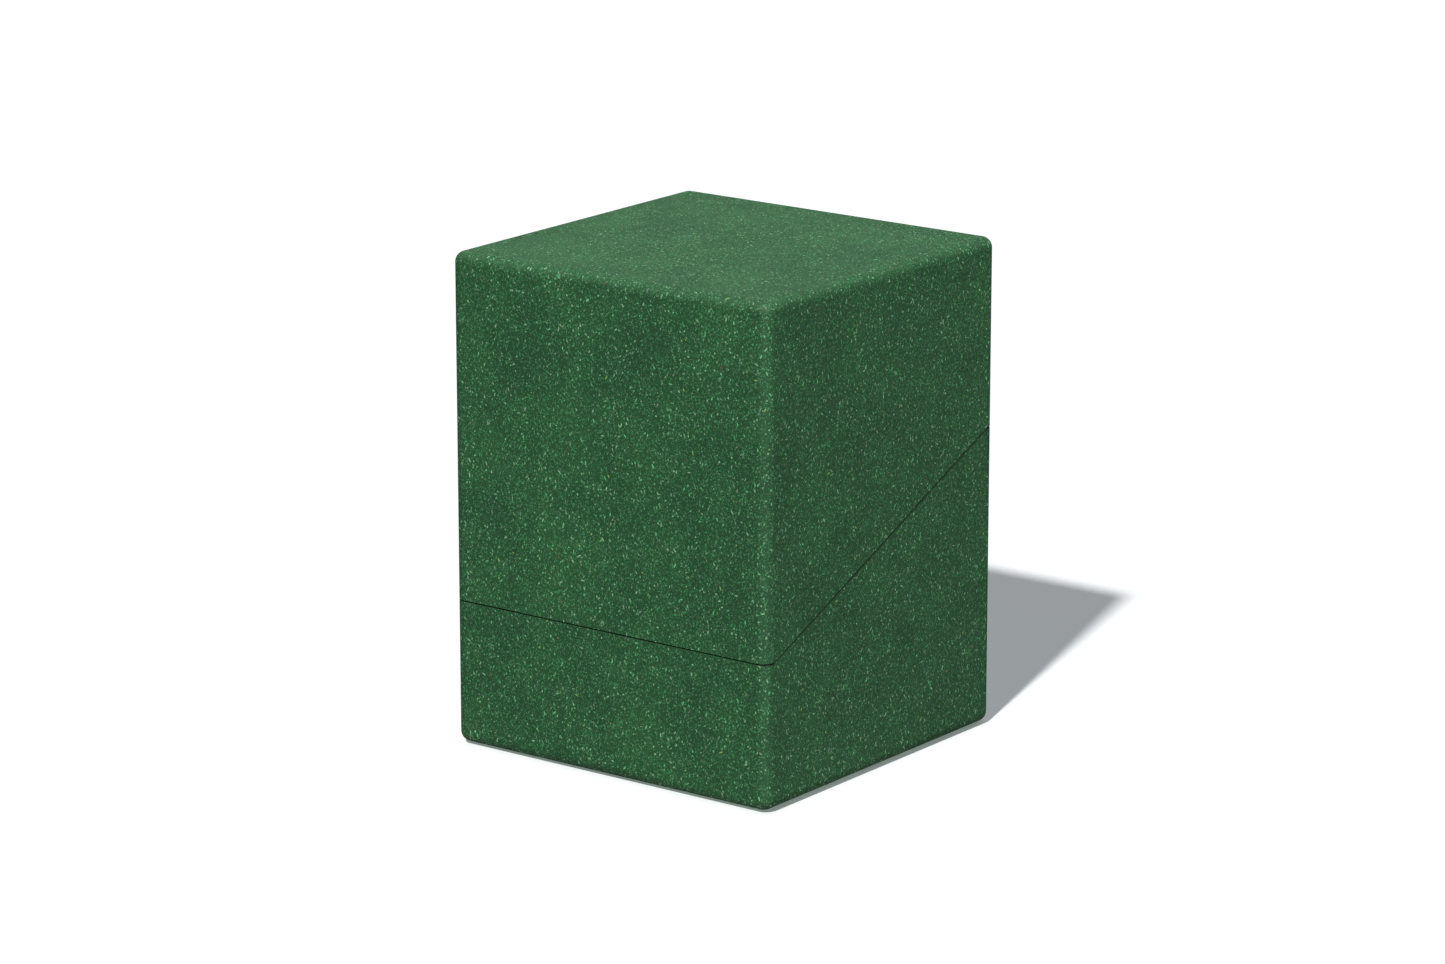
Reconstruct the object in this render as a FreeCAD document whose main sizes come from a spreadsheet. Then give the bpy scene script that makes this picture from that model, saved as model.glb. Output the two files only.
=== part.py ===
"""Card deck box: a base shell, an inner tray that stands up as a collar, and a cover that slides over it.

Millimetres, +Z up, +X to the right, -Y to the front. The origin is the centre of the underside, on the
surface that the box stands on. The three pieces are drawn where they sit in the closed box.
"""
import FreeCAD, Part
import math
import os
import Sketcher

doc = FreeCAD.newDocument("card_deck_box")

# ---------------------------------------------------------------- driving sizes
SIZES = [
    ("box_width", 77.9, "outside, left to right"),
    ("box_depth", 76.7, "outside, front to back"),
    ("shell_height", 101.0, "closed shells, without the foot"),
    ("corner_radius", 2.5, "outside upright corners"),
    ("edge_radius", 2.2, "outside top and bottom edges"),
    ("shell_wall", 2.0, "side walls of base and cover"),
    ("shell_floor", 2.0, "floor of the base"),
    ("cover_top", 2.0, "top of the cover"),
    ("cavity_radius", 2.0, "upright corners inside base and cover"),
    ("foot_height", 0.5, "plinth under the base"),
    ("foot_inset", 5.0, "plinth, in from the outside walls"),
    ("foot_round", 0.2, "plinth, rounding of its lower edge"),
    ("seam_front", 30.15, "seam above the ground at the front"),
    ("seam_back", 62.4, "seam above the ground at the back"),
    ("seam_bend", 1.0, "radius where the seam turns into its slant"),
    ("seam_gap", 0.2, "shadow gap outside the seam"),
    ("tongue_wall", 1.0, "inner part of the base rim that the cover rests on"),
    ("rim_round", 0.1, "rounding of the two outer rims at the seam"),
    ("collar_clearance", 0.25, "collar to the inside of the cover, each side"),
    ("collar_height", 18.0, "collar above the seam"),
    ("collar_round", 0.5, "rounding of the collar's top edge, inside and out"),
    ("collar_wall", 1.45, "collar wall"),
    ("shoulder_drop", 1.0, "tray's full-width part, below the seam"),
    ("tray_floor", 1.5, "floor of the tray"),
    ("well_radius", 1.5, "upright corners of the card well"),
    ("inside_round", 1.0, "rounding between floors or top and their walls"),
    ("lead_round", 0.3, "rounding of the cover's inner rim, which leads it over the collar"),
    ("rib_rise", 0.2, "friction rib, proud of the collar"),
    ("rib_length", 11.0, "friction rib, up and down"),
    ("rib_above_seam", 3.0, "lower end of a friction rib above the seam"),
    ("rib_spacing", 36.0, "between the two friction ribs of one side"),
    ("bead_radius", 0.35, "snap bead that holds the tray in the base"),
    ("bead_length", 24.0, "snap bead"),
    ("bead_height", 9.0, "snap bead above the floor of the base"),
    ("bead_clearance", 0.05, "groove in the base, beyond the bead"),
]

sheet = doc.addObject("Spreadsheet::Sheet", "sizes")
for row, (alias, number, meaning) in enumerate(SIZES, start=1):
    sheet.set("A%d" % row, meaning)
    sheet.set("B%d" % row, str(number))
    sheet.setAlias("B%d" % row, alias)
doc.recompute()

# Lengths that follow from the driving sizes, as expressions
CAVITY_WIDTH = "(sizes.box_width - 2 * sizes.shell_wall)"
CAVITY_DEPTH = "(sizes.box_depth - 2 * sizes.shell_wall)"
COLLAR_WIDTH = "(%s - 2 * sizes.collar_clearance)" % CAVITY_WIDTH
COLLAR_DEPTH = "(%s - 2 * sizes.collar_clearance)" % CAVITY_DEPTH
SHELL_TOP = "(sizes.foot_height + sizes.shell_height)"
TRAY_BOTTOM = "(sizes.foot_height + sizes.shell_floor)"


# How far a cutting profile runs past the box, and how near an edge must lie to be picked
OVERRUN = 5.0
SAME_PLACE = 0.001
CORNER_REACH = 0.8
SEAM_REACH = 0.25

QUARTER = math.pi / 2
UPRIGHT = FreeCAD.Rotation()
ALONG_X = FreeCAD.Rotation(FreeCAD.Vector(0, 1, 0), 90)
ALONG_Y = FreeCAD.Rotation(FreeCAD.Vector(1, 0, 0), -90)


# ---------------------------------------------------------------- drawing helpers
def origin_plane(body, role):
    """One of the body's own origin planes, by its role."""
    return next(plane for plane in body.Origin.OriginFeatures if plane.Role == role)


def new_body(label):
    body = doc.addObject("PartDesign::Body", label)
    body.Label = label
    body.Placement = FreeCAD.Placement()
    return body


def new_sketch(body, name, role):
    sketch = body.newObject("Sketcher::SketchObject", name)
    sketch.AttachmentSupport = [(origin_plane(body, role), "")]
    sketch.MapMode = "FlatFace"
    return sketch


def bind(sketch, constraint, expression):
    """Add a dimension to a sketch and bind it to an expression of the sheet."""
    index = sketch.addConstraint(constraint)
    sketch.setExpression("Constraints[%d]" % index, expression)


def bind_place(sketch, direction, line, end, now, expression):
    """Bind one coordinate of a line's end, measured from the origin."""
    bind(sketch, Sketcher.Constraint(direction, -1, 1, line, end, now), expression)


def add_line(sketch, start, end):
    sketch.addGeometry(Part.LineSegment(FreeCAD.Vector(*start, 0), FreeCAD.Vector(*end, 0)), False)


def add_arc(sketch, centre, radius, start, turn):
    circle = Part.Circle(FreeCAD.Vector(*centre, 0), FreeCAD.Vector(0, 0, 1), radius)
    sketch.addGeometry(Part.ArcOfCircle(circle, start, start + turn), False)


def outline(body, name, width, depth, radius, level):
    """Rounded rectangle about the upright axis, at a height: four lines with four arcs between them."""
    sketch = new_sketch(body, name, "XY_Plane")
    sketch.setExpression("AttachmentOffset.Base.z", level)
    corner = sheet.corner_radius
    x, y = sheet.box_width / 2, sheet.box_depth / 2
    inner_x, inner_y = x - corner, y - corner
    add_line(sketch, (-inner_x, -y), (inner_x, -y))
    add_line(sketch, (x, -inner_y), (x, inner_y))
    add_line(sketch, (inner_x, y), (-inner_x, y))
    add_line(sketch, (-x, inner_y), (-x, -inner_y))
    centres = [(inner_x, -inner_y), (inner_x, inner_y), (-inner_x, inner_y), (-inner_x, -inner_y)]
    for side, centre in enumerate(centres):
        add_arc(sketch, centre, corner, (side - 1) * QUARTER, QUARTER)
    for side in range(4):
        arc = 4 + side
        sketch.addConstraint(Sketcher.Constraint("Tangent", side, 2, arc, 1))
        sketch.addConstraint(Sketcher.Constraint("Tangent", arc, 2, (side + 1) % 4, 1))
    for arc in (5, 6, 7):
        sketch.addConstraint(Sketcher.Constraint("Equal", 4, arc))
    sketch.addConstraint(Sketcher.Constraint("Symmetric", 0, 1, 0, 2, -2))
    sketch.addConstraint(Sketcher.Constraint("Symmetric", 1, 1, 1, 2, -1))
    sketch.addConstraint(Sketcher.Constraint("Horizontal", 2))
    sketch.addConstraint(Sketcher.Constraint("Vertical", 3))
    bind(sketch, Sketcher.Constraint("Radius", 4, corner), radius)
    bind(sketch, Sketcher.Constraint("DistanceX", 3, 1, 1, 1, 2 * x), width)
    bind(sketch, Sketcher.Constraint("DistanceY", 0, 1, 2, 1, 2 * y), depth)
    return sketch


def seam_profile(body, name, rise, above):
    """Side view of all that is above, or below, the seam raised by rise.

    The seam runs level round the front corners, slants up along the side walls and runs level round the back.
    """
    sketch = new_sketch(body, name, "YZ_Plane")
    bend, front, back = sheet.seam_bend, sheet.seam_front, sheet.seam_back
    y = sheet.box_depth / 2 - sheet.corner_radius
    outside = sheet.box_depth / 2 + OVERRUN
    far = 2 * sheet.shell_height if above else -OVERRUN
    slant = math.atan2(back - front, 2 * y)
    along, up = bend * math.sin(slant), bend * (1 - math.cos(slant))
    add_line(sketch, (-outside, front), (-y, front))
    add_arc(sketch, (-y, front + bend), bend, -QUARTER, slant)
    add_line(sketch, (along - y, front + up), (y - along, back - up))
    add_arc(sketch, (y, back - bend), bend, QUARTER, slant)
    add_line(sketch, (y, back), (outside, back))
    add_line(sketch, (outside, back), (outside, far))
    add_line(sketch, (outside, far), (-outside, far))
    add_line(sketch, (-outside, far), (-outside, front))
    for first, first_end, second, second_end in ((0, 2, 1, 1), (1, 2, 2, 1), (2, 2, 3, 2), (3, 1, 4, 1)):
        sketch.addConstraint(Sketcher.Constraint("Tangent", first, first_end, second, second_end))
    for first, second in ((4, 5), (5, 6), (6, 7), (7, 0)):
        sketch.addConstraint(Sketcher.Constraint("Coincident", first, 2, second, 1))
    for level_line in (0, 4, 6):
        sketch.addConstraint(Sketcher.Constraint("Horizontal", level_line))
    for upright_line in (5, 7):
        sketch.addConstraint(Sketcher.Constraint("Vertical", upright_line))
    sketch.addConstraint(Sketcher.Constraint("Equal", 1, 3))
    bind(sketch, Sketcher.Constraint("Radius", 1, bend), "sizes.seam_bend")
    bind_place(sketch, "DistanceX", 0, 2, -y, "sizes.corner_radius - sizes.box_depth / 2")
    bind_place(sketch, "DistanceX", 4, 1, y, "sizes.box_depth / 2 - sizes.corner_radius")
    bind_place(sketch, "DistanceY", 0, 2, front, "sizes.seam_front + " + rise)
    bind_place(sketch, "DistanceY", 4, 1, back, "sizes.seam_back + " + rise)
    bind_place(sketch, "DistanceX", 0, 1, -outside, "-sizes.box_depth / 2 - %g" % OVERRUN)
    bind_place(sketch, "DistanceX", 4, 2, outside, "sizes.box_depth / 2 + %g" % OVERRUN)
    bind_place(sketch, "DistanceY", 6, 1, far, "2 * sizes.shell_height" if above else "-%g" % OVERRUN)
    return sketch


def slant_profile(body, name, rise):
    """Side view of all that is above one slanting plane: the seam's slant raised by rise and carried on."""
    sketch = new_sketch(body, name, "YZ_Plane")
    outside = sheet.box_depth / 2 + OVERRUN
    far = 2 * sheet.shell_height
    front, back = slant_level(-outside), slant_level(outside)
    add_line(sketch, (-outside, front), (outside, back))
    add_line(sketch, (outside, back), (outside, far))
    add_line(sketch, (outside, far), (-outside, far))
    add_line(sketch, (-outside, far), (-outside, front))
    for line in range(4):
        sketch.addConstraint(Sketcher.Constraint("Coincident", line, 2, (line + 1) % 4, 1))
    sketch.addConstraint(Sketcher.Constraint("Horizontal", 2))
    for upright_line in (1, 3):
        sketch.addConstraint(Sketcher.Constraint("Vertical", upright_line))
    slope = "(sizes.seam_back - sizes.seam_front) / (sizes.box_depth - 2 * sizes.corner_radius)"
    extra = "%s * (sizes.corner_radius + %g)" % (slope, OVERRUN)
    bind_place(sketch, "DistanceX", 0, 1, -outside, "-sizes.box_depth / 2 - %g" % OVERRUN)
    bind_place(sketch, "DistanceX", 0, 2, outside, "sizes.box_depth / 2 + %g" % OVERRUN)
    bind_place(sketch, "DistanceY", 0, 1, front, "sizes.seam_front + %s - %s" % (rise, extra))
    bind_place(sketch, "DistanceY", 0, 2, back, "sizes.seam_back + %s + %s" % (rise, extra))
    bind_place(sketch, "DistanceY", 2, 1, far, "2 * sizes.shell_height")
    return sketch


def pad(body, name, profile, length):
    feature = body.newObject("PartDesign::Pad", name)
    feature.Profile = profile
    feature.setExpression("Length", length)
    return feature


def hollow(body, name, profile, length, upward=False):
    """Cut an outline's shape down, or up, from its own height."""
    feature = body.newObject("PartDesign::Pocket", name)
    feature.Profile = profile
    feature.setExpression("Length", length)
    feature.Reversed = upward
    return feature


def cut_across(body, name, profile):
    """Cut a side view's shape from the whole width."""
    feature = body.newObject("PartDesign::Pocket", name)
    feature.Profile = profile
    feature.Type = "ThroughAll"
    feature.SideType = "Symmetric"
    return feature


def rod(body, kind, name, radius, length, start, turn):
    """Round rod added to a body, or cut from it: a rib, a bead or a groove. It is turned, then moved."""
    feature = body.newObject("PartDesign::" + kind, name)
    feature.Placement = FreeCAD.Placement(FreeCAD.Vector(0, 0, 0), turn)
    feature.setExpression("Radius", radius)
    feature.setExpression("Height", length)
    for axis, place in zip("xyz", start):
        feature.setExpression("Placement.Base." + axis, place)
    return feature


def round_edges(body, name, wanted, radius):
    """Fillet the edges that a test picks from the body as it stands."""
    doc.recompute()
    base = body.Tip
    picked = ["Edge%d" % number for number, edge in enumerate(base.Shape.Edges, start=1) if wanted(edge)]
    if not picked:
        raise RuntimeError("no edge found for " + name)
    feature = body.newObject("PartDesign::Fillet", name)
    feature.Base = (base, picked)
    feature.setExpression("Radius", radius)
    return feature


# ---------------------------------------------------------------- tests that pick edges
def three_points(edge):
    """Both ends and the middle of an edge."""
    first, last = edge.ParameterRange
    return [edge.valueAt(first), edge.valueAt((first + last) / 2), edge.valueAt(last)]


def at_level(level):
    """Picks the edges that lie in one level plane."""
    return lambda edge: all(abs(point.z - level) < SAME_PLACE for point in three_points(edge))


def slant_level(y):
    """Height of the seam's slant above the ground at a depth, carried on past its ends."""
    reach = sheet.box_depth / 2 - sheet.corner_radius
    share = (y + reach) / (2 * reach)
    return sheet.seam_front + share * (sheet.seam_back - sheet.seam_front)


def seam_level(y):
    """Height of the seam above the ground at a depth, without its small bends."""
    return min(max(slant_level(y), sheet.seam_front), sheet.seam_back)


def along(level_at, rise, inset):
    """Picks the edges at a rise above a level, on the walls that stand in from the outside by inset."""
    half_width = sheet.box_width / 2 - inset
    half_depth = sheet.box_depth / 2 - inset

    def on_wall(point):
        over_x = abs(point.x) - half_width
        over_y = abs(point.y) - half_depth
        return -CORNER_REACH < max(over_x, over_y) < SAME_PLACE

    def picks(edge):
        return all(on_wall(point) and abs(point.z - level_at(point.y) - rise) < SEAM_REACH
                   for point in three_points(edge))

    return picks


# ---------------------------------------------------------------- base shell
def base_shell():
    """Lower outer shell: a slant-rimmed tub on a low plinth. The inner part of its rim is a tongue."""
    body = new_body("base_shell")
    block = outline(body, "base_outline", "sizes.box_width", "sizes.box_depth", "sizes.corner_radius",
                    "sizes.foot_height")
    pad(body, "base_block", block, "sizes.shell_height")
    round_edges(body, "base_lower_edges", at_level(sheet.foot_height), "sizes.edge_radius")
    plinth = outline(body, "plinth_outline", "sizes.box_width - 2 * sizes.foot_inset",
                     "sizes.box_depth - 2 * sizes.foot_inset", "sizes.corner_radius", "0")
    pad(body, "plinth", plinth, "sizes.foot_height")
    round_edges(body, "plinth_edges", at_level(0), "sizes.foot_round")
    rim = seam_profile(body, "outer_rim_profile", "0", above=True)
    cut_across(body, "outer_rim", rim)

    tongue = outline(body, "tongue_outline", "%s + 2 * sizes.tongue_wall" % CAVITY_WIDTH,
                     "%s + 2 * sizes.tongue_wall" % CAVITY_DEPTH,
                     "(sizes.corner_radius + sizes.cavity_radius) / 2", TRAY_BOTTOM)
    pad(body, "tongue_block", tongue, "sizes.shell_height")
    tongue_rim = seam_profile(body, "tongue_rim_profile", "sizes.seam_gap", above=True)
    cut_across(body, "tongue_rim", tongue_rim)
    cavity = outline(body, "base_cavity_outline", CAVITY_WIDTH, CAVITY_DEPTH, "sizes.cavity_radius",
                     "2 * sizes.shell_height")
    hollow(body, "base_cavity", cavity, "2 * sizes.shell_height - %s" % TRAY_BOTTOM)
    round_edges(body, "base_cavity_edges", at_level(sheet.foot_height + sheet.shell_floor),
                "sizes.inside_round")
    round_edges(body, "base_rim_edge", along(seam_level, 0, 0), "sizes.rim_round")
    snap_beads(body, "SubtractiveCylinder", "groove", "sizes.bead_radius + sizes.bead_clearance",
               "sizes.bead_length + 2 * sizes.bead_clearance")
    return body


def snap_beads(body, kind, name, radius, length):
    """One lying rod in the middle of each wall, centred on the face where the tray meets the base."""
    level = "%s + sizes.bead_height" % TRAY_BOTTOM
    across = "-(%s) / 2" % length
    for side, sign in (("front", "-"), ("back", "")):
        start = (across, sign + CAVITY_DEPTH + " / 2", level)
        rod(body, kind, "%s_%s" % (name, side), radius, length, start, ALONG_X)
    for side, sign in (("left", "-"), ("right", "")):
        start = (sign + CAVITY_WIDTH + " / 2", across, level)
        rod(body, kind, "%s_%s" % (name, side), radius, length, start, ALONG_Y)


# ---------------------------------------------------------------- inner tray
def inner_tray():
    """Liner that holds the cards: full width below the seam, and above it a collar with a slanting rim."""
    body = new_body("inner_tray")
    shoulder = outline(body, "shoulder_outline", CAVITY_WIDTH, CAVITY_DEPTH, "sizes.cavity_radius",
                       TRAY_BOTTOM)
    pad(body, "shoulder_block", shoulder, "sizes.shell_height")
    round_edges(body, "tray_lower_edges", at_level(sheet.foot_height + sheet.shell_floor),
                "sizes.inside_round + sizes.collar_clearance")
    shoulder_top = slant_profile(body, "shoulder_profile", "-sizes.shoulder_drop")
    cut_across(body, "shoulder_top", shoulder_top)
    collar = outline(body, "collar_outline", COLLAR_WIDTH, COLLAR_DEPTH,
                     "sizes.cavity_radius - sizes.collar_clearance", "%s + sizes.tray_floor" % TRAY_BOTTOM)
    pad(body, "collar_block", collar, "sizes.shell_height")
    collar_top = slant_profile(body, "collar_profile", "sizes.collar_height")
    cut_across(body, "collar_top", collar_top)
    well = outline(body, "well_outline", "%s - 2 * sizes.collar_wall" % COLLAR_WIDTH,
                   "%s - 2 * sizes.collar_wall" % COLLAR_DEPTH, "sizes.well_radius", "2 * sizes.shell_height")
    hollow(body, "card_well", well, "2 * sizes.shell_height - %s - sizes.tray_floor" % TRAY_BOTTOM)
    round_edges(body, "well_floor_edges", at_level(sheet.foot_height + sheet.shell_floor + sheet.tray_floor),
                "sizes.inside_round")
    outer_face = sheet.shell_wall + sheet.collar_clearance
    round_edges(body, "collar_outer_edge", along(slant_level, sheet.collar_height, outer_face),
                "sizes.collar_round")
    round_edges(body, "collar_inner_edge",
                along(slant_level, sheet.collar_height, outer_face + sheet.collar_wall), "sizes.collar_round")
    friction_ribs(body)
    snap_beads(body, "AdditiveCylinder", "bead", "sizes.bead_radius", "sizes.bead_length")
    return body


def friction_ribs(body):
    """Two upright half-round ribs on each side of the collar, which grip the inside of the cover."""
    radius = "sizes.collar_wall / 2"
    sunk = "(%s - sizes.rib_rise)" % radius
    for side, sign, seam in (("front", "-", "sizes.seam_front"), ("back", "", "sizes.seam_back")):
        wall = "%s(%s / 2 - %s)" % (sign, COLLAR_DEPTH, sunk)
        for hand, hand_sign in (("left", "-"), ("right", "")):
            start = (hand_sign + "sizes.rib_spacing / 2", wall, "%s + sizes.rib_above_seam" % seam)
            name = "rib_%s_%s" % (side, hand)
            rod(body, "AdditiveCylinder", name, radius, "sizes.rib_length", start, UPRIGHT)
    for side, sign in (("left", "-"), ("right", "")):
        wall = "%s(%s / 2 - %s)" % (sign, COLLAR_WIDTH, sunk)
        for end, end_sign in (("front", "-"), ("back", "")):
            along = end_sign + "sizes.rib_spacing / 2"
            share = "(0.5 + (%s) / (sizes.box_depth - 2 * sizes.corner_radius))" % along
            seam = "sizes.seam_front + (sizes.seam_back - sizes.seam_front) * %s" % share
            start = (wall, along, "%s + sizes.rib_above_seam" % seam)
            name = "rib_%s_%s" % (side, end)
            rod(body, "AdditiveCylinder", name, radius, "sizes.rib_length", start, UPRIGHT)


# ---------------------------------------------------------------- cover shell
def cover_shell():
    """Upper outer shell: a cap whose flat rim sits on the tongue of the base and follows the seam."""
    body = new_body("cover_shell")
    block = outline(body, "cover_outline", "sizes.box_width", "sizes.box_depth", "sizes.corner_radius",
                    "sizes.foot_height")
    pad(body, "cover_block", block, "sizes.shell_height")
    round_edges(body, "cover_top_edges", at_level(sheet.foot_height + sheet.shell_height),
                "sizes.edge_radius")
    rim = seam_profile(body, "cover_rim_profile", "sizes.seam_gap", above=False)
    cut_across(body, "cover_rim", rim)
    cavity = outline(body, "cover_cavity_outline", CAVITY_WIDTH, CAVITY_DEPTH, "sizes.cavity_radius",
                     "sizes.foot_height")
    hollow(body, "cover_cavity", cavity, "sizes.shell_height - sizes.cover_top", upward=True)
    ceiling = sheet.foot_height + sheet.shell_height - sheet.cover_top
    round_edges(body, "cover_ceiling_edges", at_level(ceiling), "sizes.inside_round")
    round_edges(body, "cover_rim_edge", along(seam_level, sheet.seam_gap, 0), "sizes.rim_round")
    round_edges(body, "cover_lead_edge", along(seam_level, sheet.seam_gap, sheet.shell_wall),
                "sizes.lead_round")
    return body


# ---------------------------------------------------------------- build, check and write
pieces = [base_shell(), inner_tray(), cover_shell()]
doc.recompute()

for item in doc.Objects:
    if "Invalid" in item.State or "Error" in item.State:
        raise RuntimeError("%s failed: %s" % (item.Name, item.State))
for piece in pieces:
    if piece.Shape.isNull() or not piece.Shape.isValid():
        raise RuntimeError("%s has no valid shape" % piece.Label)
    if len(piece.Shape.Solids) != 1:
        raise RuntimeError("%s is not one solid" % piece.Label)

os.makedirs("parts", exist_ok=True)
for piece in pieces:
    piece.Shape.exportStep("parts/%s.step" % piece.Label)
    print("%s: %.0f cubic mm" % (piece.Label, piece.Shape.Volume))
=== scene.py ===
"""Card deck box of speckled plant-fibre plastic: base shell, inner tray and lift-off cover.

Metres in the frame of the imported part: +Z up, -Y to the front, where the joint is low, and the origin
under the middle.
"""
import math

import bpy
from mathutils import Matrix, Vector

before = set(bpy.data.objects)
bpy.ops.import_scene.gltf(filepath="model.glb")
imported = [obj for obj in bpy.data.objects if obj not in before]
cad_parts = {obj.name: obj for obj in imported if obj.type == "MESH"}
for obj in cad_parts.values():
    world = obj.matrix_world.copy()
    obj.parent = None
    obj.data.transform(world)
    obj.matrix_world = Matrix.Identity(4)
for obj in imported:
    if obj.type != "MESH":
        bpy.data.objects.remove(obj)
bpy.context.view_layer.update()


# ---------------------------------------------------------------- base shell
# The lower shell, which stands on a low plinth and ends in a slanting rim. It is injection moulded in one
# piece from a bioplastic filled with ground plant fibre, so the speckle goes right through the wall.
def add_node(tree, kind, settings=None, **links):
    """Add a node, set its properties, and give each named or numbered socket a value or another's output."""
    node = tree.nodes.new(kind)
    for name, value in (settings or {}).items():
        setattr(node, name, value)
    for name, value in links.items():
        key = int(name[1:]) if name[0] == "n" and name[1:].isdigit() else name.replace("_", " ")
        socket = node.inputs[key]
        if isinstance(value, bpy.types.NodeSocket):
            tree.links.new(value, socket)
        else:
            socket.default_value = value
    return node


def linear(code):
    """sRGB hex code to linear red, green, blue and an alpha of 1."""
    coded = [int(code[at:at + 2], 16) / 255 for at in (0, 2, 4)]
    decoded = [part / 12.92 if part <= 0.04045 else ((part + 0.055) / 1.055) ** 2.4 for part in coded]
    return (*decoded, 1.0)


def scatter_fibres(tree, place, spacing, length, width, upright):
    """Spindle-shaped fibres, sized in mm, one to a cell; upright above 1 leans more of them up and down.

    The cells are turned, so that their rows line up with none of the flats. Gives how far inside a fibre the
    surface is, 0 to 1, and a random number and a random colour for each fibre.
    """
    cell_turn = (0.61, 0.35, 0.52)
    skew = add_node(tree, "ShaderNodeVectorRotate", {"rotation_type": "EULER_XYZ"},
                    Vector=place, Rotation=cell_turn)
    cells = add_node(tree, "ShaderNodeVectorMath", {"operation": "SCALE"},
                     n0=skew.outputs[0], Scale=1 / spacing)
    nearest = add_node(tree, "ShaderNodeTexVoronoi", Vector=cells.outputs[0], Scale=1.0)
    from_middle = add_node(tree, "ShaderNodeVectorMath", {"operation": "SUBTRACT"},
                           n0=cells.outputs[0], n1=nearest.outputs["Position"])
    lean = add_node(tree, "ShaderNodeVectorMath", {"operation": "MULTIPLY_ADD"},
                    n0=nearest.outputs["Color"], n1=(2, 2, 2 * upright), n2=(-1, -1, -upright))
    leaning = add_node(tree, "ShaderNodeVectorRotate", {"rotation_type": "EULER_XYZ"},
                       Vector=lean.outputs[0], Rotation=cell_turn)
    axis = add_node(tree, "ShaderNodeVectorMath", {"operation": "NORMALIZE"}, n0=leaning.outputs[0])
    along = add_node(tree, "ShaderNodeVectorMath", {"operation": "DOT_PRODUCT"},
                     n0=from_middle.outputs[0], n1=axis.outputs[0])
    along_squared = add_node(tree, "ShaderNodeMath", {"operation": "MULTIPLY"},
                             n0=along.outputs["Value"], n1=along.outputs["Value"]).outputs[0]
    away_squared = add_node(tree, "ShaderNodeMath", {"operation": "MULTIPLY"},
                            n0=nearest.outputs["Distance"], n1=nearest.outputs["Distance"]).outputs[0]
    across = (2 * spacing / width) ** 2
    lengthways = (2 * spacing / length) ** 2
    round_part = add_node(tree, "ShaderNodeMath", {"operation": "MULTIPLY"},
                          n0=away_squared, n1=across).outputs[0]
    reach = add_node(tree, "ShaderNodeMath", {"operation": "MULTIPLY_ADD"},
                     n0=along_squared, n1=lengthways - across, n2=round_part).outputs[0]
    skin, core = 1.0, 0.45
    inside = add_node(tree, "ShaderNodeMapRange", {"interpolation_type": "SMOOTHSTEP"},
                      n0=reach, n1=skin, n2=core, n3=0.0, n4=1.0)
    dice = add_node(tree, "ShaderNodeTexWhiteNoise", Vector=nearest.outputs["Position"])
    return inside.outputs[0], dice.outputs["Value"], dice.outputs["Color"]


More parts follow.
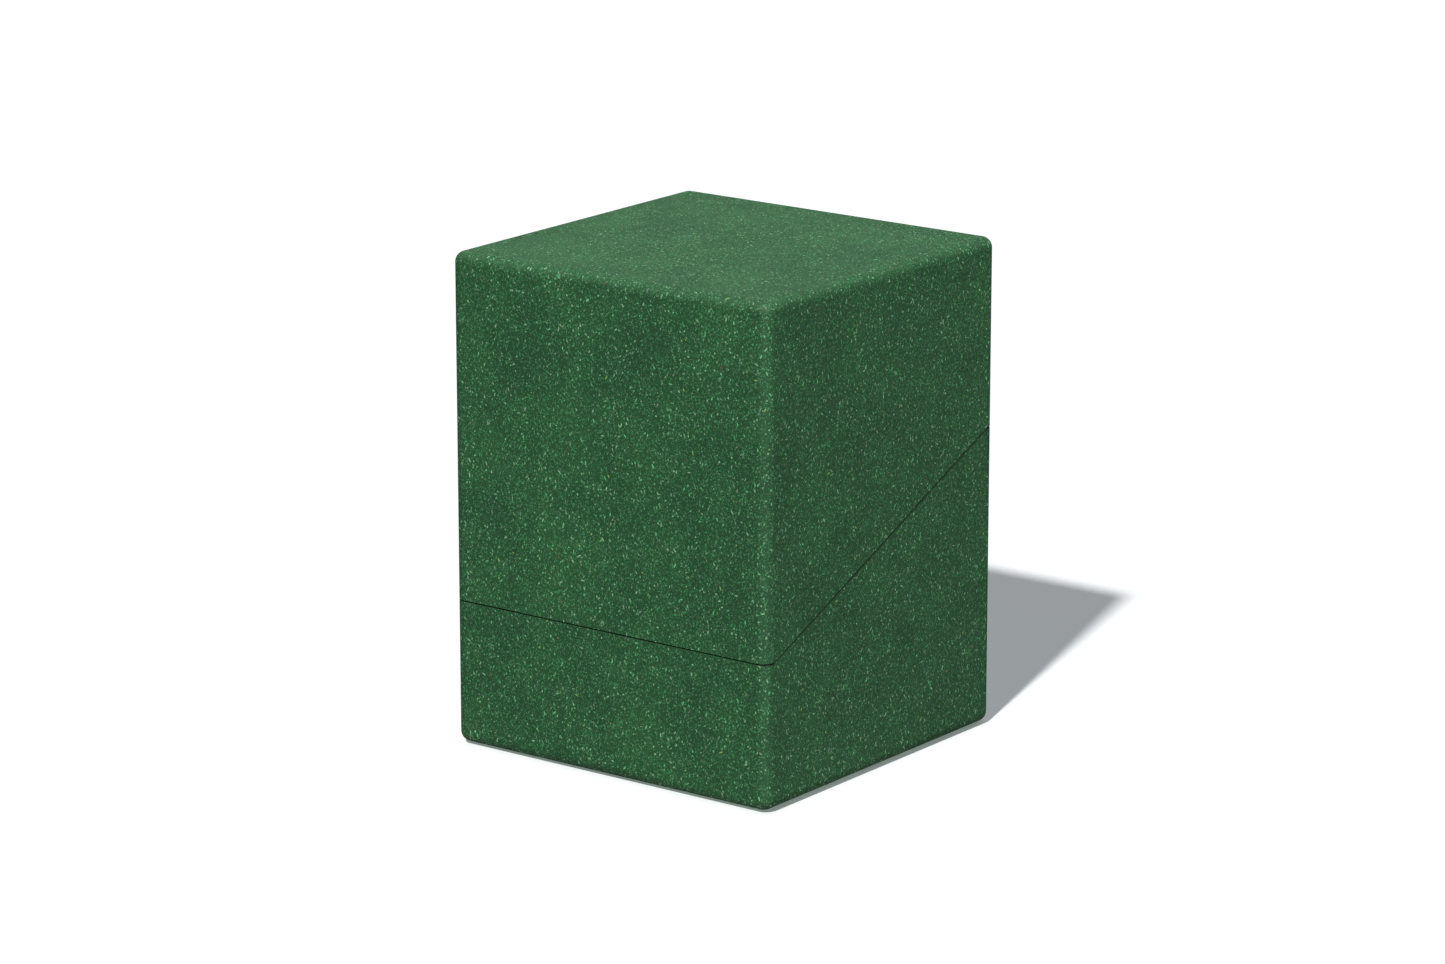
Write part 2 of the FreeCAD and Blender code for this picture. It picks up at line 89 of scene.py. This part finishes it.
def speckled_bioplastic(name, shift, ground, fibres, roughness, joint=None):
    """Moulded bioplastic filled with ground plant fibre.

    The eye gets a deep green with a weak, broad sheen and a dense speckle of short pale fibres. shift, in mm,
    gives each moulding a speckle of its own, ground is the dark and the light of the green, and joint says
    where the painted shade along the joint between the shells lies.
    """
    material = bpy.data.materials.new(name)
    material.use_nodes = True
    tree = material.node_tree
    tree.nodes.clear()
    body = add_node(tree, "ShaderNodeTexCoord")
    mm_in_metre = (1000, 1000, 1000)
    place = add_node(tree, "ShaderNodeVectorMath", {"operation": "MULTIPLY_ADD"},
                     n0=body.outputs["Object"], n1=mm_in_metre, n2=shift).outputs[0]

    # The melt carries its fibres in clouds from 14 mm across down to 1 mm.
    widest_cloud = 14.0
    thin, thick = 0.36, 0.64
    cloud = add_node(tree, "ShaderNodeTexNoise",
                     Vector=place, Scale=1 / widest_cloud, Detail=4.0, Roughness=0.68)
    crowd = add_node(tree, "ShaderNodeMapRange", n0=cloud.outputs[0], n1=thin, n2=thick, n3=0.0, n4=1.0)
    colour = add_node(tree, "ShaderNodeMix", {"data_type": "RGBA"},
                      n0=crowd.outputs[0], n6=linear(ground[0]), n7=linear(ground[1])).outputs[2]

    # The fibres come in three sizes, the coarser over the finer, and show less where they are sparse.
    sparse = 0.78
    height = None
    for kind in fibres:
        inside, chance, mixed = scatter_fibres(tree, place, kind["spacing"], kind["length"], kind["width"],
                                               kind["upright"])
        pick = add_node(tree, "ShaderNodeSeparateColor", Color=mixed)
        ramp = add_node(tree, "ShaderNodeValToRGB", Fac=pick.outputs[0])
        ramp.color_ramp.interpolation = "CONSTANT"
        while len(ramp.color_ramp.elements) < len(kind["shades"]):
            ramp.color_ramp.elements.new(0.5)
        for stop, (at, code) in zip(ramp.color_ramp.elements, kind["shades"]):
            stop.position = at
            stop.color = linear(code)
        present = add_node(tree, "ShaderNodeMapRange", n0=chance, n1=kind["empty"], n2=1.0, n3=0.0, n4=1.0)
        uneven = add_node(tree, "ShaderNodeMath", {"operation": "POWER"},
                          n0=present.outputs[0], n1=kind["fading"]).outputs[0]
        denser = add_node(tree, "ShaderNodeMapRange",
                          n0=crowd.outputs[0], n3=sparse * kind["strongest"], n4=kind["strongest"])
        shown = add_node(tree, "ShaderNodeMath", {"operation": "MULTIPLY"},
                         n0=uneven, n1=denser.outputs[0]).outputs[0]
        factor = add_node(tree, "ShaderNodeMath", {"operation": "MULTIPLY"}, n0=shown, n1=inside).outputs[0]
        colour = add_node(tree, "ShaderNodeMix", {"data_type": "RGBA"},
                          n0=factor, n6=colour, n7=ramp.outputs[0]).outputs[2]
        height = factor

    # Roundings are handled most, so they are a little smoother than the flats, and a little paler, partly
    # from wear and partly as a painted sheen.
    flat, round_over = 0.99, 0.75
    wear_and_sheen_green = "6f9d7c"
    wear_and_sheen_amount = 0.03
    turned = add_node(tree, "ShaderNodeVectorMath", {"operation": "ABSOLUTE"}, n0=body.outputs["Normal"])
    facing = add_node(tree, "ShaderNodeSeparateXYZ", Vector=turned.outputs[0])
    flatter = add_node(tree, "ShaderNodeMath", {"operation": "MAXIMUM"},
                       n0=facing.outputs[0], n1=facing.outputs[1]).outputs[0]
    flattest = add_node(tree, "ShaderNodeMath", {"operation": "MAXIMUM"},
                        n0=flatter, n1=facing.outputs[2]).outputs[0]
    rounding = add_node(tree, "ShaderNodeMapRange",
                        n0=flattest, n1=flat, n2=round_over, n3=0.0, n4=1.0)
    wear_and_sheen = add_node(tree, "ShaderNodeMath", {"operation": "MULTIPLY"},
                      n0=rounding.outputs[0], n1=wear_and_sheen_amount).outputs[0]
    colour = add_node(tree, "ShaderNodeMix", {"data_type": "RGBA"},
                      n0=wear_and_sheen, n6=colour, n7=linear(wear_and_sheen_green)).outputs[2]

    # Painted shade in the joint between base and cover: its two lips are darkened in colour, more along the
    # slants.
    if joint:
        joint_shade_green = "052a11"
        wider_on_sides = -0.5
        at = add_node(tree, "ShaderNodeSeparateXYZ", Vector=body.outputs["Object"])
        level = add_node(tree, "ShaderNodeMapRange", n0=at.outputs[1],
                         n1=joint["front_y"], n2=joint["back_y"], n3=joint["front_z"], n4=joint["back_z"])
        off = add_node(tree, "ShaderNodeMath", {"operation": "SUBTRACT"},
                       n0=at.outputs[2], n1=level.outputs[0]).outputs[0]
        away = add_node(tree, "ShaderNodeMath", {"operation": "ABSOLUTE"}, n0=off).outputs[0]
        nearer = add_node(tree, "ShaderNodeMath", {"operation": "MULTIPLY_ADD"},
                          n0=facing.outputs[0], n1=wider_on_sides, n2=1.0).outputs[0]
        gap = add_node(tree, "ShaderNodeMath", {"operation": "MULTIPLY"}, n0=away, n1=nearer).outputs[0]
        lips = add_node(tree, "ShaderNodeMapRange", {"interpolation_type": "SMOOTHSTEP"},
                        n0=gap, n1=joint["unshaded"], n2=joint["dark"], n3=0.0, n4=joint["painted_shade"])
        colour = add_node(tree, "ShaderNodeMix", {"data_type": "RGBA"},
                          n0=lips.outputs[0], n6=colour, n7=linear(joint_shade_green)).outputs[2]

    # Grain of the spark-eroded mould, about 0.15 mm across and drawn at 0.4 mm so that it shows, with the
    # coarsest fibres just proud of it. Grain and fibres together stand up 0.03 mm.
    grain_width = 0.4
    grain_height = 0.00003
    fibres_proud = 0.5
    pits, peaks = 0.3, 0.7
    uneven_sheen = 0.05
    polish = -0.02
    grain = add_node(tree, "ShaderNodeTexNoise",
                     Vector=place, Scale=1 / grain_width, Detail=2.0, Roughness=0.55)
    lifted = add_node(tree, "ShaderNodeMath", {"operation": "MULTIPLY_ADD"},
                      n0=height, n1=fibres_proud, n2=grain.outputs[0]).outputs[0]
    bump = add_node(tree, "ShaderNodeBump", Strength=1.0, Distance=grain_height, Height=lifted)
    dull = add_node(tree, "ShaderNodeMapRange", n0=grain.outputs[0], n1=pits, n2=peaks,
                    n3=roughness - uneven_sheen, n4=roughness + uneven_sheen)
    polished = add_node(tree, "ShaderNodeMath", {"operation": "MULTIPLY_ADD"},
                        n0=rounding.outputs[0], n1=polish, n2=dull.outputs[0]).outputs[0]
    surface = add_node(tree, "ShaderNodeBsdfPrincipled", Base_Color=colour, Roughness=polished,
                       IOR=1.5, Specular_IOR_Level=0.4, Normal=bump.outputs[0])
    add_node(tree, "ShaderNodeOutputMaterial", Surface=surface.outputs[0])
    return material


def finish_moulding(name, material):
    """Give a moulded piece its material and smooth roundings that stay flat on the flats."""
    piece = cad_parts[name]
    piece.data.materials.clear()
    piece.data.materials.append(material)
    piece.data.polygons.foreach_set("use_smooth", [True] * len(piece.data.polygons))
    piece.modifiers.new("flat_on_the_flats", "WEIGHTED_NORMAL").keep_sharp = True


# Each kind of fibre: spacing, length and width in mm, how far upright it leans, the share of cells with none,
# the strongest cover, how soon weaker ones fade, and its colours, each with the point from 0 to 1 where it
# begins. The finest real fibres are under 0.1 mm wide and are drawn at 0.24 mm, as fine as shows from arm's
# length.
SHELL_GROUND = ("1c4628", "23512d")
SHELL_FIBRES = (
    {"spacing": 0.38, "length": 0.84, "width": 0.24, "upright": 1.6,
     "empty": 0.06, "strongest": 0.85, "fading": 1.0,
     "shades": ((0.0, "0d3117"), (0.30, "669771"), (0.60, "4a905e"), (0.82, "318048"))},
    {"spacing": 0.56, "length": 1.05, "width": 0.29, "upright": 1.7,
     "empty": 0.20, "strongest": 0.80, "fading": 1.5,
     "shades": ((0.0, "94c79f"), (0.52, "6cb580"), (0.80, "47a660"), (0.97, "91b586"))},
    {"spacing": 1.02, "length": 1.20, "width": 0.35, "upright": 1.7,
     "empty": 0.35, "strongest": 0.93, "fading": 1.1,
     "shades": ((0.0, "d4eed4"), (0.60, "a3dbab"), (0.84, "6ec485"), (0.972, "86ad5c"), (0.996, "6e4b3a"))},
)
# In metres, the middle of the 0.2 mm joint at its two ends, and how far from it the painted shade on the lips
# begins and is full. The last number is how dark the painted shade makes them there.
JOINT = {"front_y": -0.03585, "back_y": 0.03585, "front_z": 0.03025, "back_z": 0.0625,
         "unshaded": 0.00019, "dark": 0.00011, "painted_shade": 0.9}
# The outside of both shells comes from a spark-eroded mould, which leaves it matt.
SPARK_ERODED = 0.66
base_green = speckled_bioplastic("moulded_fibre_bioplastic_base", (0, 0, 0), SHELL_GROUND, SHELL_FIBRES,
                                 SPARK_ERODED, JOINT)
finish_moulding("base_shell", base_green)


# ---------------------------------------------------------------- inner tray
# The tray that holds the cards and stands up out of the base as a collar for the cover to slide on. It is
# moulded in the same bioplastic, in a mould with a finer grain, and snaps into the base.
# The finer grain leaves it satin, a little glossier than the shells.
FINE_GRAINED = 0.52
tray_green = speckled_bioplastic("moulded_fibre_bioplastic_tray", (131, 57, 23), SHELL_GROUND, SHELL_FIBRES,
                                 FINE_GRAINED)
finish_moulding("inner_tray", tray_green)


# ---------------------------------------------------------------- cover shell
# The cover, a deep cap with a flat top, moulded like the base in its own mould, so its speckle doesn't run on
# from the base across the joint. It slides down the collar until its rim rests on the base.
cover_green = speckled_bioplastic("moulded_fibre_bioplastic_cover", (47, 211, 89), SHELL_GROUND, SHELL_FIBRES,
                                  SPARK_ERODED, JOINT)
finish_moulding("cover_shell", cover_green)


# ---------------------------------------------------------------- table, lamps and camera
# A matt white table top lit from inside, like a light table, so shadows on it stay pale. One hard lamp stands
# at the upper front right, a large soft box fills the right side, and two weak ones fill the back.
# The table is opal acrylic, sanded, so it gives back white light evenly and shows no reflections.
TABLE_REACH = 6.0
TABLE_GLOW = 0.993
table_mesh = bpy.data.meshes.new("table_top")
corners = [(TABLE_REACH * x, TABLE_REACH * y, 0.0) for x, y in ((-1, -1), (1, -1), (1, 1), (-1, 1))]
table_mesh.from_pydata(corners, [], [(0, 1, 2, 3)])
table = bpy.data.objects.new("table_top", table_mesh)
bpy.context.scene.collection.objects.link(table)
table.visible_diffuse = False
table.visible_glossy = False
opal_acrylic = bpy.data.materials.new("opal_acrylic")
opal_acrylic.use_nodes = True
tree = opal_acrylic.node_tree
tree.nodes.clear()
matt = add_node(tree, "ShaderNodeBsdfDiffuse", Color=linear("fafafa"))
# Close under the box's rounded lower edges the table's glow is dimmed by ambient occlusion, a painted shadow
# that makes the shadow deepest there.
under_edge = 0.002
painted_contact_shade = add_node(tree, "ShaderNodeAmbientOcclusion", {"samples": 8}, Distance=under_edge)
dimmed = add_node(tree, "ShaderNodeMapRange",
                  n0=painted_contact_shade.outputs["AO"], n1=0.0, n2=1.0, n3=TABLE_GLOW / 2, n4=TABLE_GLOW)
glow = add_node(tree, "ShaderNodeEmission", Color=linear("909497"), Strength=dimmed.outputs[0])
lit = add_node(tree, "ShaderNodeAddShader", n0=matt.outputs[0], n1=glow.outputs[0])
add_node(tree, "ShaderNodeOutputMaterial", Surface=lit.outputs[0])
table_mesh.materials.append(opal_acrylic)

# Light that the wide table throws up at the box, the little that a dark studio sends down, and the brightness
# of a white card on the right, which only shows as a pale sheen.
FROM_TABLE = 1.5
FROM_ROOM = 0.04
CARD = 0.20
world = bpy.data.worlds.new("studio")
bpy.context.scene.world = world
world.use_nodes = True
world.cycles.sampling_method = "NONE"
tree = world.node_tree
tree.nodes.clear()
direction = add_node(tree, "ShaderNodeTexCoord")
rise = add_node(tree, "ShaderNodeSeparateXYZ", Vector=direction.outputs["Generated"])
ray = add_node(tree, "ShaderNodeLightPath")
down = add_node(tree, "ShaderNodeMapRange", n0=rise.outputs["Z"], n1=0.0, n2=-1.0, n3=0.0, n4=1.0)
steep = add_node(tree, "ShaderNodeMath", {"operation": "POWER"}, n0=down.outputs[0], n1=2.0).outputs[0]
thrown_up = add_node(tree, "ShaderNodeMath", {"operation": "MULTIPLY_ADD"},
                     n0=steep, n1=FROM_TABLE, n2=FROM_ROOM).outputs[0]
card_edge = 0.6
card = add_node(tree, "ShaderNodeMapRange", n0=rise.outputs["X"], n1=0.0, n2=card_edge, n3=0.0, n4=CARD)
around = add_node(tree, "ShaderNodeMix",
                  n0=ray.outputs["Is Glossy Ray"], n2=thrown_up, n3=card.outputs[0])
studio = add_node(tree, "ShaderNodeBackground", Color=linear("ffffff"), Strength=around.outputs[0])
backdrop = add_node(tree, "ShaderNodeBackground", Color=linear("ffffff"), Strength=1.0)
both = add_node(tree, "ShaderNodeMixShader",
                n0=ray.outputs["Is Camera Ray"], n1=studio.outputs[0], n2=backdrop.outputs[0])
add_node(tree, "ShaderNodeOutputWorld", Surface=both.outputs[0])

# Each lamp: the way to it, what a white wall facing it would give back, its width in degrees, whether it
# lights only the box, and whether it shows as a glint.
all_but_the_table = bpy.data.collections.new("all_but_the_table")
all_but_the_table.objects.link(table)
all_but_the_table.collection_objects[0].light_linking.link_state = "EXCLUDE"
LAMPS = (
    ("key_lamp", (28.4, -96.8, 101.0), 1.02, 2.5, False, True),
    ("right_soft_box", (0.508, 0.0, 0.861), 0.66, 50.0, True, True),
    ("back_soft_box", (-0.43, 0.56, 0.707), 0.10, 40.0, True, True),
    ("low_back_soft_box", (-0.583, 0.771, 0.25), 0.30, 30.0, True, False),
)
for name, way, white, width, box_only, glints in LAMPS:
    lamp_data = bpy.data.lights.new(name, "SUN")
    lamp_data.energy = white * math.pi
    lamp_data.angle = math.radians(width)
    lamp = bpy.data.objects.new(name, lamp_data)
    lamp.rotation_euler = Vector(way).to_track_quat("Z", "Y").to_euler()
    lamp.visible_glossy = glints
    if box_only:
        lamp.light_linking.receiver_collection = all_but_the_table
    bpy.context.scene.collection.objects.link(lamp)

# A long lens about a metre from the near right corner, looking slightly down.
CAMERA_PLACE = (0.6325, -0.8366, 0.3303)
CAMERA_AZIMUTH = math.radians(37.12)
CAMERA_TILT = math.radians(14.83)
CAMERA_LENS = 134.9
SENSOR_WIDTH = 36.0
CAMERA_SEES = 50
camera_data = bpy.data.cameras.new("camera")
camera_data.lens = CAMERA_LENS
camera_data.sensor_width = SENSOR_WIDTH
camera_data.clip_end = CAMERA_SEES
camera = bpy.data.objects.new("camera", camera_data)
camera.location = CAMERA_PLACE
camera.rotation_euler = (math.pi / 2 - CAMERA_TILT, 0, CAMERA_AZIMUTH)
bpy.context.scene.collection.objects.link(camera)
bpy.context.scene.camera = camera
bpy.context.scene.view_settings.view_transform = "Standard"
